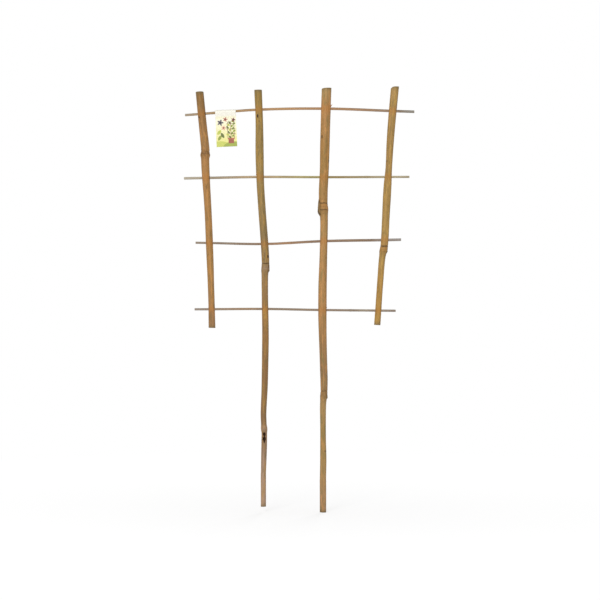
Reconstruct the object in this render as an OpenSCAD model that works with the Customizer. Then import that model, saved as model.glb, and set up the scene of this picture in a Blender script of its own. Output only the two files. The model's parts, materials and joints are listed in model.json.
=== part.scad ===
// Bamboo espalier frame. Four canes stand side by side: two long stakes in the middle and
// a short cane on each side. Four thin rungs are threaded through holes drilled across the
// canes, and a folded card tag hangs on the top rung.
// Millimetres, +Z up, the front faces -Y. The origin is the middle of the frame, at the
// level of the longest stake's tip.

/* [Heights] */
// Height of the lowest rung above the tip of the longest stake
leg_height = 285; // [220:1:400]
// Spacing from one rung to the next
rung_pitch = 94; // [70:1:130]
// Height of the tallest cane's head above the top rung
head_rise = 33; // [24:1:60]
// Length of the side canes below the lowest rung
side_tail = 23; // [15:1:60]
// How much lower than the tallest head each cane is cut, left to right
head_trim = [7, 4.5, 2, 0]; // [0:0.5:12]
// How much higher than its nominal end each cane's foot is cut, left to right
foot_trim = [-2, 8, 0, 2]; // [-4:0.5:14]

/* [Widths] */
// Distance between the heads of the two side canes
side_head_gap = 275.5; // [220:0.5:400]
// Distance between the feet of the two side canes
side_foot_gap = 233; // [200:0.5:360]
// Distance between the heads of the two stakes
stake_head_gap = 96.5; // [60:0.5:130]
// Distance between the feet of the two stakes
stake_foot_gap = 84; // [50:0.5:130]

/* [Canes] */
// Diameter of each cane at its head, left to right
head_d = [11.1, 10.8, 13.8, 11.5]; // [9:0.1:16]
// Diameter of each cane at its foot, left to right
foot_d = [9.6, 7.4, 9.1, 9]; // [7:0.1:12]
// Thickness of the cane wall round its hollow
cane_wall = 2.5; // [1.8:0.1:2.8]
// Thickness of the partition that closes the hollow at each node
partition = 3; // [2:0.5:6]
// Straight round length at the tip of each stake, which goes into the soil
tip_length = 45; // [20:1:60]

/* [Rungs] */
// Diameter of each rung at its left end, lowest rung first
rung_left_d = [3.2, 3.1, 3.6, 3.5]; // [2.4:0.1:4.2]
// Diameter of each rung at its right end, lowest rung first
rung_right_d = [3.3, 3.9, 3.1, 3.8]; // [2.4:0.1:4.2]
// Gap all round between a rung and the hole that it is pushed through
hole_clearance = 0.2; // [0.1:0.05:0.4]
// Length of each rung past the left side cane, lowest rung first
left_overhang = [24, 19.5, 31, 23.5]; // [14:0.5:60]
// Length of each rung past the right side cane, lowest rung first
right_overhang = [24.5, 23, 30, 30.5]; // [14:0.5:60]

/* [Tag] */
// Width of the card tag
tag_width = 29; // [15:0.5:36]
// Height of the tag from its fold to its lower edge
tag_height = 49; // [30:0.5:80]
// Thickness of the card
card_t = 0.4; // [0.2:0.05:0.8]
// Gap between the fold and the rung, so that the tag swings freely
fold_clearance = 0.3; // [0.2:0.05:1]
// How far the tag hangs off square to the sloping rung, in degrees
tag_lean = 2.4; // [0:0.2:3]
// Distance from the rung's middle down to where the two leaves meet
fold_depth = 9; // [6:0.5:14]
// Distance from the left side cane to the middle of the tag
tag_offset = 33.5; // [28:0.5:48]

/* [Hidden] */

LEFT_SIDE = 0;
LEFT_STAKE = 1;
RIGHT_STAKE = 2;
RIGHT_SIDE = 3;
TOP_RUNG = 3;
CANES = [LEFT_SIDE : RIGHT_SIDE];

// Canes are cut and threaded by hand, so the whole fan sits a little to the left
head_shift = [-2.75, -9.75];
foot_shift = [-6.5, -8.55];

// Height of each rung off its even spacing where it meets each cane, lowest rung first
rung_wander = [
    [1.3, 1.7, 0.2, -0.6],
    [0.7, -0.7, 3.3, 4.9],
    [-1.6, -0.2, -0.5, -0.2],
    [-5.3, 0.7, 2.1, -1.2]
];

// Natural form of each cane: share of its length from the foot, sideways bend off the
// straight line, and change of diameter off the even taper
tip_ledge = 0.3;
cane_form = [
    [[0, 0, 0], [0.15, 1.5, -0.8], [0.36, 2.6, 0], [0.5, 3.1, -0.4], [0.7, 2.6, 0.9],
     [0.765, 3.9, 1.2], [0.8, 3.1, 0.9], [0.87, 1.9, 0.4], [1, 0, 0]],
    [[0, 0, -tip_ledge], [0.07, 1.5, 0.5], [0.105, 2.1, 0], [0.155, 1.3, 0.2], [0.23, 3.5, 0.6],
     [0.36, 5.6, 0.9], [0.47, 5.7, 0.2], [0.52, 6, 0.4], [0.56, 7.1, 1.4], [0.69, 3.2, 0.9],
     [0.755, 1.4, 0.7], [0.835, 0.9, 1.4], [0.92, 1.1, 0.1], [1, 0, 0]],
    [[0, 0, -tip_ledge], [0.055, 0.2, -0.3], [0.12, -0.4, -1.5], [0.19, -0.7, -0.9],
     [0.23, 0.4, -0.5], [0.265, 0, 0.1], [0.335, -1.5, 0], [0.41, -2.8, 0.7], [0.49, -3.1, 0.5],
     [0.59, -2.2, -1.1], [0.665, -1.9, -1.1], [0.72, -3.4, 0.1], [0.795, -2.1, 0],
     [0.855, -1.6, 0.5], [0.93, -0.9, 0.1], [1, 0, 0]],
    [[0, 0, 0], [0.14, -0.2, -0.5], [0.25, -0.2, -0.4], [0.285, 0, -0.2], [0.34, 1.6, 0.8],
     [0.45, 0.8, 0.7], [0.58, -0.1, 0.9], [0.66, -0.3, -1.4], [0.76, -0.9, -0.7],
     [0.86, -0.9, -0.3], [1, 0, 0]]
];

// Nodes of each cane: share of its length from the foot, height of the ridge and half its width
cane_nodes = [
    [[0.733, 1, 4.5]],
    [[0.119, 0.7, 6], [0.5355, 0.5, 7.5]],
    [[0.215, 0.4, 6], [0.693, 0.7, 8]],
    [[0.315, 0.6, 6]]
];
// Groove of the fallen leaf sheath round each node. The canes stand thick end up, as they
// didn't grow, so it lies above the ridge.
scar_depth = 0.35;
scar_half = 0.7;

// Stubs of cut branches: cane, node, side that it points to (0 is +X, 270 the front), diameter,
// height above and below the node, how far its cut end stands proud of the cane, and slant of the cut
branch_stubs = [
    [LEFT_STAKE, 1, 350, 4.6, 11, 5.5, 1.1, 20],
    [RIGHT_STAKE, 0, 350, 4.2, 5, 4, 0.4, 20],
    [RIGHT_STAKE, 1, 190, 6, 12, 5.5, 3.2, 50],
    [RIGHT_SIDE, 0, 350, 5, 6, 6, 0.5, 45]
];
// A branch broken out of the cane leaves a slanting pit: cane, node, side, diameter, drop of its
// lower lip below the node, length and slant off the cane
branch_pits = [[LEFT_STAKE, 0, 272, 3, 18, 13, 20]];

// Share of a stake's round tip that the grown cane reaches down into
tip_lap = 0.25;
// Length of the drilled holes, in diameters of the cane
drill_reach = 3;

cane_sides = 20;
hollow_sides = 10;
rung_sides = 12;
ring_step = 14;
hollow_step = 40;
node_step = 1.75;
overrun = 1;
round_faces = 48;

top_rung_height = leg_height + TOP_RUNG * rung_pitch;

function between(low, high, share) = low + (high - low) * share;
function sum(values, k = 0) = k < len(values) ? values[k] + sum(values, k + 1) : 0;
function is_stake(cane) = cane == LEFT_STAKE || cane == RIGHT_STAKE;
function side_sign(cane) = cane < RIGHT_STAKE ? -1 : 1;

// Smooth curve through rows of [place, value, ...], for the value in the given column
function row_below(rows, place, k = 0) =
    k == len(rows) - 2 || place < rows[k + 1][0] ? k : row_below(rows, place, k + 1);
function row_slope(rows, k, column) =
    let (before = max(k - 1, 0), after = min(k + 1, len(rows) - 1))
    (rows[after][column] - rows[before][column]) / (rows[after][0] - rows[before][0]);
function smooth_value(rows, place, column) =
    let (
        k = row_below(rows, place),
        span = rows[k + 1][0] - rows[k][0],
        t = (place - rows[k][0]) / span,
        rise = rows[k + 1][column] - rows[k][column],
        out = row_slope(rows, k, column) * span,
        in = row_slope(rows, k + 1, column) * span
    )
    rows[k][column] + t * out + t * t * (3 * rise - 2 * out - in) + t * t * t * (out + in - 2 * rise);

// Ends of the canes
function head_z(cane) = top_rung_height + head_rise - head_trim[cane];
function foot_z(cane) = foot_trim[cane] + (is_stake(cane) ? 0 : leg_height - side_tail);
function grown_z(cane) = foot_z(cane) + (is_stake(cane) ? tip_length : 0);
function head_x(cane) =
    is_stake(cane) ? head_shift[1] + side_sign(cane) * stake_head_gap / 2
                   : head_shift[0] + side_sign(cane) * side_head_gap / 2;
function foot_x(cane) =
    is_stake(cane) ? foot_shift[1] + side_sign(cane) * stake_foot_gap / 2
                   : foot_shift[0] + side_sign(cane) * side_foot_gap / 2;

// Centre line, radius and nodes of a cane at a height
function cane_share(cane, z) =
    min(max((z - grown_z(cane)) / (head_z(cane) - grown_z(cane)), 0), 1);
function cane_x(cane, z) =
    let (share = cane_share(cane, z))
    between(foot_x(cane), head_x(cane), share) + smooth_value(cane_form[cane], share, 1);
function cane_r(cane, z) =
    let (share = cane_share(cane, z))
    (between(foot_d[cane], head_d[cane], share) + smooth_value(cane_form[cane], share, 2)) / 2;
function node_z(cane, k) = between(grown_z(cane), head_z(cane), cane_nodes[cane][k][0]);
function node_half(cane, k) = cane_nodes[cane][k][2];
function scar_z(cane, k) = node_z(cane, k) + node_half(cane, k) + scar_half;
function ridge(cane, z) =
    sum([for (k = [0 : len(cane_nodes[cane]) - 1])
        let (
            reach = (z - node_z(cane, k)) / node_half(cane, k),
            notch = (z - scar_z(cane, k)) / scar_half
        )
        (abs(reach) < 1 ? cane_nodes[cane][k][1] * pow(1 - reach * reach, 2) : 0)
        - max(1 - abs(notch), 0) * scar_depth]);

// Height of a rung at a cane, its centre line as rows of [x, z], and its radius
function crossing_z(rung, cane) = leg_height + rung * rung_pitch + rung_wander[rung][cane];
function crossing(rung, cane) =
    let (z = crossing_z(rung, cane))
    [cane_x(cane, z), z];
function carry_on(from, to, run) = to + (to - from) * run / abs(to[0] - from[0]);
function rung_rows(rung) =
    let (met = [for (cane = CANES) crossing(rung, cane)])
    concat(
        [carry_on(met[1], met[0], left_overhang[rung])],
        met,
        [carry_on(met[2], met[3], right_overhang[rung])]
    );
function rung_z(rung, x) = smooth_value(rung_rows(rung), x, 1);
function rung_r(rung, x) =
    let (
        rows = rung_rows(rung),
        start = rows[0][0],
        end = rows[len(rows) - 1][0]
    )
    between(rung_left_d[rung], rung_right_d[rung], (x - start) / (end - start)) / 2;
function rung_tilt(rung, x) = atan2(rung_z(rung, x + overrun) - rung_z(rung, x - overrun), 2 * overrun);

// Even steps from one mark to the next, without the last mark
function steps(start, end, step) =
    let (count = ceil((end - start) / step))
    [for (k = [0 : count - 1]) between(start, end, k / count)];

// Skin over rings of points, each listed anticlockwise seen from the far end
module loft(rings) {
    sides = len(rings[0]);
    last = len(rings) - 1;
    polyhedron(
        points = [for (ring = rings) each ring],
        faces = concat(
            [[for (k = [0 : sides - 1]) k]],
            [for (j = [0 : last - 1], k = [0 : sides - 1])
                let (next = (k + 1) % sides)
                [j * sides + k, (j + 1) * sides + k, (j + 1) * sides + next, j * sides + next]],
            [[for (k = [sides - 1 : -1 : 0]) last * sides + k]]
        )
    );
}

function level_ring(x, z, r, sides) =
    [for (k = [0 : sides - 1]) [x + r * cos(360 * k / sides), r * sin(360 * k / sides), z]];
function upright_ring(x, z, r, sides) =
    [for (k = [0 : sides - 1]) [x, r * cos(360 * k / sides), z + r * sin(360 * k / sides)]];

// Outer skin of a cane, with close rings over its nodes
module culm(cane) {
    lap = is_stake(cane) ? tip_length * tip_lap : 0;
    marks = concat(
        [grown_z(cane) - lap],
        [for (k = [0 : len(cane_nodes[cane]) - 1])
            each [
                node_z(cane, k) - node_half(cane, k),
                scar_z(cane, k) - scar_half,
                scar_z(cane, k) + scar_half
            ]],
        [head_z(cane)]
    );
    stretch_steps = [ring_step, node_step, scar_half];
    heights = concat(
        [for (k = [0 : len(marks) - 2]) each steps(marks[k], marks[k + 1], stretch_steps[k % 3])],
        [head_z(cane)]
    );
    loft([for (z = heights) level_ring(cane_x(cane, z), z, cane_r(cane, z) + ridge(cane, z), cane_sides)]);
}

// Round tip that goes into the soil
module stake_tip(cane) {
    translate([foot_x(cane), 0, foot_z(cane)])
        cylinder(h = tip_length, d = foot_d[cane], $fn = round_faces);
}

// Hollows between the partitions, open at the cut ends
module hollows(cane) {
    last = len(cane_nodes[cane]);
    for (k = [0 : last]) {
        low = k == 0 ? foot_z(cane) - overrun : node_z(cane, k - 1) + partition / 2;
        high = k == last ? head_z(cane) + overrun : node_z(cane, k) - partition / 2;
        heights = concat(steps(low, high, hollow_step), [high]);
        loft([for (z = heights) level_ring(cane_x(cane, z), z, cane_r(cane, z) - cane_wall, hollow_sides)]);
    }
}

// Holes drilled through a cane along each rung
module rung_holes(cane) {
    drill_length = drill_reach * head_d[cane];
    for (rung = [0 : TOP_RUNG]) {
        place = crossing(rung, cane);
        drill_r = rung_r(rung, place[0]) + hole_clearance;
        translate([place[0], 0, place[1]])
            rotate([0, 90 - rung_tilt(rung, place[0]), 0])
                cylinder(h = drill_length, r = drill_r, center = true, $fn = round_faces);
    }
}

// Rod along +Z, sawn off at a slant that leaves its -X side the shorter
module sawn_rod(length, r, slant) {
    reach = r * tan(slant);
    saw = 4 * (r + reach);
    difference() {
        cylinder(h = length + reach, r = r, $fn = round_faces);
        translate([0, 0, length])
            rotate([0, -slant, 0])
                translate([-saw / 2, -saw / 2, 0])
                    cube(saw);
    }
}

// Stubs of cut branches, which lean close along the cane with their cut ends down
module stubs(cane) {
    for (stub = branch_stubs) {
        if (stub[0] == cane) {
            stub_r = stub[3] / 2;
            middle = node_z(cane, stub[1]);
            top = middle + stub[4];
            end = middle - stub[5];
            root = cane_r(cane, top) - stub_r;
            tip = cane_r(cane, end) - stub_r + stub[6] + cane_nodes[cane][stub[1]][1];
            translate([cane_x(cane, middle), 0, top])
                rotate([0, 0, stub[2]])
                    translate([root, 0, 0])
                        rotate([0, 180 - atan2(tip - root, top - end), 0])
                            sawn_rod(norm([tip - root, top - end]), stub_r, stub[7]);
        }
    }
}

// Pits where a branch broke out
module pits(cane) {
    for (pit = branch_pits) {
        if (pit[0] == cane) {
            lip = node_z(cane, pit[1]) - pit[4];
            translate([cane_x(cane, lip), 0, lip])
                rotate([0, 0, pit[2]])
                    translate([cane_r(cane, lip) + pit[3] / 2, 0, 0])
                        rotate([0, -pit[6], 0])
                            cylinder(h = pit[5], d = pit[3], $fn = round_faces);
        }
    }
}

module cane(index, tone) {
    color(tone)
        difference() {
            union() {
                culm(index);
                stubs(index);
                if (is_stake(index)) stake_tip(index);
            }
            hollows(index);
            rung_holes(index);
            pits(index);
        }
}

module left_side_cane() { cane(LEFT_SIDE, "#b58a58"); }
module left_stake() { cane(LEFT_STAKE, "#a58a54"); }
module right_stake() { cane(RIGHT_STAKE, "#b68f5b"); }
module right_side_cane() { cane(RIGHT_SIDE, "#b59350"); }

module rung(index, tone) {
    rows = rung_rows(index);
    start = rows[0][0];
    end = rows[len(rows) - 1][0];
    places = concat(steps(start, end, ring_step), [end]);
    color(tone)
        loft([for (x = places) upright_ring(x, rung_z(index, x), rung_r(index, x), rung_sides)]);
}

module bottom_rung() { rung(0, "#a08c78"); }
module lower_rung() { rung(1, "#a5856a"); }
module upper_rung() { rung(2, "#b8a886"); }
module top_rung() { rung(TOP_RUNG, "#b08c68"); }

// Drop shape round the rung: a circle and the two tangents that run down to one point
module drop(r, half_angle) {
    point = r / sin(half_angle);
    circle(r = r, $fn = round_faces);
    polygon([
        [r * cos(half_angle), -r * sin(half_angle)],
        [-r * cos(half_angle), -r * sin(half_angle)],
        [0, -point]
    ]);
}

// Folded card: a loop over the rung, whose two leaves meet below it and hang as one
module hang_tag() {
    x = cane_x(LEFT_SIDE, crossing_z(TOP_RUNG, LEFT_SIDE)) + tag_offset;
    lean_room = tag_width / 2 * sin(tag_lean);
    inner_r = rung_r(TOP_RUNG, x) + fold_clearance + lean_room;
    half_angle = asin(inner_r / fold_depth);
    color("#efe6a0")
        translate([x, 0, rung_z(TOP_RUNG, x)])
            rotate([0, tag_lean - rung_tilt(TOP_RUNG, x), 0])
                rotate([90, 0, 90])
                    linear_extrude(height = tag_width, center = true)
                        difference() {
                            union() {
                                drop(inner_r + card_t, half_angle);
                                translate([-card_t, -tag_height])
                                    square([2 * card_t, tag_height - fold_depth]);
                            }
                            drop(inner_r, half_angle);
                        }
}

left_side_cane();
left_stake();
right_stake();
right_side_cane();
bottom_rung();
lower_rung();
upper_rung();
top_rung();
hang_tag();
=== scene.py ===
# Bamboo espalier frame: four drilled canes, the four rungs that are threaded through them and a
# folded card tag that swings on the top rung. Metres, +Z up, the front faces -Y.
import json
import math
from dataclasses import dataclass, field

import bmesh
import bpy
import numpy as np
from mathutils import Color, Matrix, Vector, noise


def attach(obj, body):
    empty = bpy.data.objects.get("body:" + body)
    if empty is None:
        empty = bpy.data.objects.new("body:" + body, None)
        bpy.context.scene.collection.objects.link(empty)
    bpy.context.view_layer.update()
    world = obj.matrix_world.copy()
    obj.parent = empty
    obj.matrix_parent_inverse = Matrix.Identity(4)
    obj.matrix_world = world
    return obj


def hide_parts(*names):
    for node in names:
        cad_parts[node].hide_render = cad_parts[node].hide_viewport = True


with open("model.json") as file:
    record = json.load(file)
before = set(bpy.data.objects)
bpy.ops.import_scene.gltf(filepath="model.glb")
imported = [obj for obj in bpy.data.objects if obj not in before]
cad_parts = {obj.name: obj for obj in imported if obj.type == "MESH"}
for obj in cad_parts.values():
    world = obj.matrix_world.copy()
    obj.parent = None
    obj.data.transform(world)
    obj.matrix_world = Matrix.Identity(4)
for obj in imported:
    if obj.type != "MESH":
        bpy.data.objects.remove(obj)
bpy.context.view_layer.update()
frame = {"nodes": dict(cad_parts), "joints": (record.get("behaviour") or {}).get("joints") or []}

MM = 0.001

# Axes of the frame
ACROSS, DEEP, UP = range(3)

# Fineness of the meshes
CANE_SIDES = 96
RUNG_SIDES = 28
STUB_SIDES = 36
STUB_RINGS = 24
PIT_SIDES = 64
PIT_RINGS = 70
SPLINTER_SIDES = 10
SPLINTER_RINGS = 12
RING_STEP = 2 * MM
FINE_STEP = 0.5 * MM
CANE_BEVEL_STEPS = 3
RUNG_BEVEL_STEPS = 2
SHARP_ANGLE = math.radians(42)
SHORTEST_EDGE = 0.001 * MM

# How the rings of a CAD stick are told apart: corners that lie closer than SAME_RING along the stick
# make one ring if enough of them are as far from its middle as the back corner, give or take
# ROUND_WITHIN, and rings closer than NODE_STEP belong to a node of the cane
SAME_RING = 0.005 * MM
CANE_CORNERS = 14
RUNG_CORNERS = 9
ROUND_WITHIN = 0.01
NODE_STEP = 2 * MM
NODE_RINGS = 5

# Natural unevenness of the sticks. Waves are given as features to the radius round the stick and, where
# they run along it, the length of one.
SWAY = 0.14 * MM
SWAY_WAVES = (0.8, 34 * MM)
FLUTE = 0.07 * MM
FLUTE_WAVES = (4.5, 150 * MM)
SCAR_WANDER = 0.55 * MM
SCAR_WAVES = 1.4
SCAR_LIP = 0.16 * MM
SCAR_LIP_REACH = 1.3 * MM
SLIP_REACH = 25 * MM
RUNG_UNEVEN = 0.05 * MM
RUNG_LUMP_WAVES = (1.3, 9 * MM)
RUNG_RIB_WAVES = (3, 60 * MM)
RUNG_RIB_SHARE = 0.6
RUNG_KNOT_RISE = 0.14 * MM
RUNG_KNOT_HALF = 2.2 * MM

# Roughness of small forms: length of its features, and their height as a share of the form's radius
ROUGH_LENGTH = 2 * MM
SAWN = 0.05
CHIPPED = 0.3
TORN = 0.35

# Groove that runs down a cane from a branch stub: depth, spread in radians, length, and the share of the
# length in which it deepens
GROOVE_DEPTH = 0.45 * MM
GROOVE_SPREAD = 0.38
GROOVE_LENGTH = 110 * MM
GROOVE_START = 1 / 20

# Cut ends and holes
CANE_WALL = 2.5 * MM
BORE_DEPTH = 48 * MM
CUT_BEVEL = 0.4 * MM
RUNG_BEVEL = 0.25 * MM
SLANT_REACH = 16 * MM
WORN_REACH = 9 * MM
HOLE_GAP = 0.2 * MM
HOLE_OVERRUN = 6 * MM
MOUTH_FLARE = 0.35 * MM
MOUTH_DEPTH = 0.7 * MM

# Branch stubs: rows of share of the length and share of the radius, radius and reach of what the saw cuts
# off, how far the root stands out as a share of the cut end, and the pith inside the cut
STUB_PROFILE = [(0, 0.3), (0.05, 0.6), (0.15, 0.84), (0.3, 0.97), (0.6, 1.04), (0.85, 1.03)]
STUB_TIP = 0.96
STUB_OVERRUN = 1.2
STUB_ROOT_SHARE = 0.3
PITH_MARGIN = 0.55
PITH_DEPTH = 0.5 * MM

# Wood broken away at a hole: rows of share of the half height and share of the half width, and the middle
# to the side and to the front as shares of the cane's radius
CHIP_PROFILE = [(-1, 0.2), (-0.6, 0.8), (0, 1), (0.55, 0.85), (1, 0.15)]
CHIP_ASIDE = 0.93
CHIP_FORWARD = 0.4

# Pit of a torn branch, two hollows joined by a slit: rows of height and radius in millimetres
PIT_PROFILE = [(-2.5, 0.1), (-0.5, 0.9), (1.5, 1.5), (3.5, 2.1), (5.5, 2), (6.8, 1.3), (8, 1), (9.4, 1.8),
               (10.8, 2.2), (12, 1.9), (12.8, 1), (13.4, 0.1)]
PIT_DEEPENING = 1.2

# Strips torn up above a hole: place beside the middle in half widths, share of the length, share of the
# lean, and their radius at the root, halfway and at the tip in half widths
STRIPS = [(-1.4, 0.5, 0.6), (-0.8, 0.9, 1), (0, 0.65, 0.7), (0.7, 1, 1.1), (1.3, 0.6, 0.9)]
STRIP_TAPER = (0.36, 0.28, 0.03)
STRIP_FLATNESS = (0.8, 1.3, 1)
STRIP_ROOT = 1 * MM
STRIP_SUNK = 0.3 * MM

# Marks on the skin of a cane: strength and reach, or the reach alone where the cane's looks say how strong.
# A pit's marks lie round a point PIT_MIDDLE above its lip and spread PIT_SPREAD radians round the cane, and
# what stands PROUD_OF_SKIN isn't skin any more.
HOLE_WARMTH = (0.65, 5 * MM)
# Skin darker round each hole's mouth: strength and reach
HOLE_DARKENING = (0.8, 2.6 * MM)
NODE_BLOOM_REACH = 4 * MM
NODE_WARM_REACH = 6 * MM
PIT_DIRT = (0.8, 6 * MM)
PIT_MIDDLE = 8 * MM
PIT_SPREAD = 0.5
END_DIRT = (0.5, 1.4 * MM)
END_WEAR = (1, 3.4 * MM)
PROUD_OF_SKIN = 0.8 * MM

# Marks of a branch stub: painted shade in the crease beside it, the painted shadow below its cut with its
# spread in radii, the dark rim of the cut, partly weathering and partly painted shade, and the wear and dirt
# of its back, which grow with how far it stands out
STUB_CREASE_SHADE = (0.9, 0.6 * MM)
STUB_SEAM_END = 1 * MM
STUB_FADE_IN = 0.25
STUB_SHADOW = (0.75, 1.8 * MM)
STUB_SHADOW_DROP = 1 * MM
STUB_SHADOW_BESIDE = 0.8
STUB_SHADOW_ROUND = 1.6
CUT_RIM = (1, 1.2 * MM)
CUT_RIM_PROUD = 0.5 * MM
CUT_RIM_WITHIN = 1.2
STUB_BACK_WEAR_PROUD = 1 * MM
STUB_BACK_DIRT = 0.6
STUB_BACK_DIRT_PROUD = 1.5 * MM

# Faces of a cane's mesh by finish
SKIN, END_GRAIN, HOLLOW = range(3)

# Faces of the tag's mesh by finish
PRINT, BOARD = range(2)


@dataclass
class Ring:
    """Looks of one node of a cane. Lines round it: rise above the ridge, darkness, half width."""

    lines: list
    # How pale the band over the node is, and how warm
    pale: float = 0
    warm: float = 0
    # How much lower the node lies than in the frame
    slip: float = 0


@dataclass
class Stub:
    """Sawn branch at a node of a cane: place and sizes in millimetres, angles in degrees."""

    node: int
    side: float
    width: float
    # Top above the node, and cut end below it
    rise: float
    drop: float
    # How far the cut end stands out, and the slant of the cut
    proud: float
    slant: float


@dataclass
class Cane:
    """Looks of one cane. Heights and sizes are in millimetres, in the frame."""

    slot: str
    seed: int
    # Height and colour of the skin, from the foot up
    tones: list
    # Colours of the cloudy patches and of the bright streaks
    cloud: str
    bright: str
    # Nodes from the foot up
    rings: list
    # Rise of the saw cut across the cane, left to right, at the foot and at the head
    slants: tuple = (0, 0)
    # Worn edge of the head: side in degrees, and depth
    worn: tuple = (0, 0)
    # Dark specks: across, up, half width, half height, strength
    specks: list = field(default_factory=list)
    stubs: list = field(default_factory=list)
    # Pits of torn branches: node, side in degrees, drop of the lower lip
    pits: list = field(default_factory=list)
    # Wood broken away in front of a hole: rung, side, half width, half height
    chips: list = field(default_factory=list)
    # Splinters above a hole: rung, side, length, half width, lean in degrees
    splinters: list = field(default_factory=list)


CANES = {
    "left_side_cane": Cane(
        slot="cane_russet",
        seed=11,
        tones=[(262, "9c7650"), (345, "ab814b"), (495, "a97c4b"), (525, "9f764a"), (592, "836439")],
        cloud="7f653a",
        bright="c68d4c",
        rings=[Ring([(5.2, 0.6, 0.9), (2, 0.65, 0.9), (3.6, 0.45, 3.5), (2, 0.4, 10)], slip=0.6)],
        slants=(-0.3, 0.8),
        worn=(0, 0.6),
        specks=[(-141, 556.5, 0.8, 1.6, 0.9), (-130.5, 458, 0.9, 4, 0.3)],
        chips=[(3, 1, 1.5, 2.8), (2, 1, 1.4, 2.4)],
    ),
    "left_stake": Cane(
        slot="cane_olive",
        seed=23,
        tones=[(8, "b09178"), (55, "b5957b"), (90, "967a61"), (130, "8c6c49"), (260, "966e40"),
               (312, "9a784c"), (380, "8c744c"), (490, "9d824d"), (594, "94783f")],
        cloud="75663f",
        bright="bd9145",
        rings=[Ring([(6.7, 0.3, 0.9), (0, 0.25, 0.8)], pale=0.75),
               Ring([(8.2, 1.0, 0.9), (4.6, 0.45, 0.6), (2.6, 0.5, 0.6), (0.5, 0.4, 0.6)], pale=0.7,
                    slip=0.9)],
        slants=(0.2, 0.2),
        specks=[(-58.6, 558, 1.2, 2.8, 1), (-56.6, 551, 0.5, 0.9, 0.9), (-44.1, 360.5, 1.2, 2.2, 1)],
        stubs=[Stub(1, side=350, width=4.6, rise=15, drop=5.5, proud=1.3, slant=45)],
        pits=[(0, 272, 18)],
        splinters=[(2, -1, 2.4, 0.5, 20)],
    ),
    "right_stake": Cane(
        slot="cane_tan",
        seed=37,
        tones=[(0, "ab8460"), (74, "a88854"), (115, "987d48"), (143, "a78a59"), (190, "906f4a"),
               (300, "b08350"), (410, "a9824f"), (497, "a07a43"), (575, "b58552"), (597, "a58a5a")],
        cloud="847548",
        bright="d0975a",
        rings=[Ring([(12, 0.3, 0.8), (6.9, 0.75, 0.9), (2.6, 0.5, 0.9), (3, 0.45, 12)], warm=0.3),
               Ring([(14.8, 0.5, 0.7), (8.7, 1.0, 1), (3.9, 0.5, 0.6), (-0.6, 1.0, 1.1),
                     (-3.2, 0.55, 0.7), (-5.7, 0.45, 0.7)], warm=0.45, slip=1.35)],
        slants=(-0.4, 0.6),
        worn=(180, 0.7),
        specks=[(32, 529, 0.8, 2.6, 0.9), (41.5, 495, 0.7, 2.4, 0.9), (36.5, 86.5, 0.9, 1.3, 0.9),
                (28.2, 436.5, 0.9, 4.2, 0.8)],
        stubs=[Stub(0, side=350, width=4.2, rise=5, drop=4, proud=0.8, slant=20),
               Stub(1, side=195, width=5.8, rise=17, drop=9, proud=3.1, slant=55)],
        splinters=[(3, 1, 5, 1.5, 30), (0, 1, 3, 0.6, 25)],
    ),
    "right_side_cane": Cane(
        slot="cane_golden",
        seed=53,
        tones=[(264, "b08a48"), (320, "b08646"), (355, "a5844e"), (400, "aa884e"), (553, "a8844f"),
               (599, "ac8a54")],
        cloud="826e3c",
        bright="cda455",
        rings=[Ring([(6, 1.0, 1.5), (-1.3, 0.4, 0.7)], warm=0.6, slip=0.7)],
        slants=(-0.5, 0.5),
        worn=(180, 2.6),
        specks=[(123.5, 495, 0.6, 1.4, 0.9)],
        stubs=[Stub(0, side=350, width=5, rise=6, drop=6, proud=0.8, slant=55)],
        splinters=[(0, 1, 2.6, 0.55, 15)],
    ),
}


@dataclass
class Rung:
    """Looks of one rung. Places are in millimetres, in the frame."""

    slot: str
    seed: int
    # Place across the frame and colour, from left to right
    tones: list
    # Places of small swellings of the stick
    knots: list


RUNGS = {
    "bottom_rung": Rung(
        slot="rung_grey",
        seed=61,
        tones=[(-148, "988a7c"), (-85, "a28567"), (-40, "96826c"), (60, "938170"), (90, "a59885"),
               (140, "948374")],
        knots=[72],
    ),
    "lower_rung": Rung(
        slot="rung_brown",
        seed=67,
        tones=[(-148, "988a79"), (-65, "927d69"), (-20, "a5805f"), (20, "927964"), (90, "8f755d"),
               (140, "a09790")],
        knots=[-12],
    ),
    "upper_rung": Rung(
        slot="rung_pale",
        seed=71,
        tones=[(-158, "b5ab97"), (-120, "a4957e"), (-60, "b7a07d"), (5, "aba16c"), (55, "958254"),
               (145, "b2a688")],
        knots=[95.5],
    ),
    "top_rung": Rung(
        slot="rung_brown",
        seed=79,
        tones=[(-158, "a69b8b"), (-115, "ab8e68"), (-15, "b88f64"), (80, "a68160"), (140, "8c7c6a"),
               (158, "8f897e")],
        knots=[-121],
    ),
}
RUNG_NAMES = list(RUNGS)


# Reading the frame

def corners_of(node):
    """Distinct corners of a CAD node, one row each."""
    mesh = frame["nodes"][node].data
    corners = np.empty(3 * len(mesh.vertices))
    mesh.vertices.foreach_get("co", corners)
    return np.unique(corners.reshape(-1, 3).round(7), axis=0)


def smooth_curve(places, values):
    """A function that gives the value at any place on a smooth curve through the given points.

    The curve is level at each peak and dip of the points, so it never swings out past them.
    """
    rises = np.diff(values) / np.diff(places)
    one_way = np.flatnonzero(rises[:-1] * rises[1:] > 0)
    before, after = rises[one_way], rises[one_way + 1]
    slopes = np.zeros(len(values))
    slopes[one_way + 1] = 2 * before * after / (before + after)
    slopes[[0, -1]] = rises[[0, -1]]

    def value_at(place):
        low = np.clip(np.searchsorted(places, place) - 1, 0, len(places) - 2)
        span = places[low + 1] - places[low]
        t = np.clip((place - places[low]) / span, 0, 1)
        rise = values[low + 1] - values[low]
        leave = slopes[low] * span
        arrive = slopes[low + 1] * span
        bend = 3 * rise - 2 * leave - arrive
        return values[low] + t * leave + t**2 * bend + t**3 * (leave + arrive - 2 * rise)

    return value_at


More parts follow.
